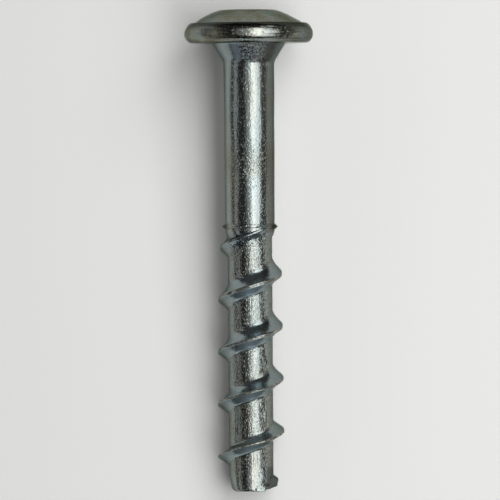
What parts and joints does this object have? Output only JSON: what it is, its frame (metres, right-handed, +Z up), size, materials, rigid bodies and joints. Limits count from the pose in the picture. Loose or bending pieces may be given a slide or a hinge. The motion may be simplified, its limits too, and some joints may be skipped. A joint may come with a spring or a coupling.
{
  "type": "concrete screw",
  "caption": "Concrete screw with a domed pan head, hexalobular drive recess, tapered neck, plain shank with a rolled ear on each side, and a coarse right-hand thread on a blunt tip.",
  "frame": {"origin": "on the surface the screw lies on, below the middle of its length", "axes": "+Y along the screw towards its head, as seen from above; +Z up; +X the side on which the thread starts at the tip"},
  "size_m": [0.0144, 0.054, 0.0144],
  "materials": {
    "zinc_plated_steel": "zinc electroplate, clear passivated, satin with a fine grain"
  },
  "bodies": {
    "root": {"screw": "zinc_plated_steel"}
  },
  "joints": []
}
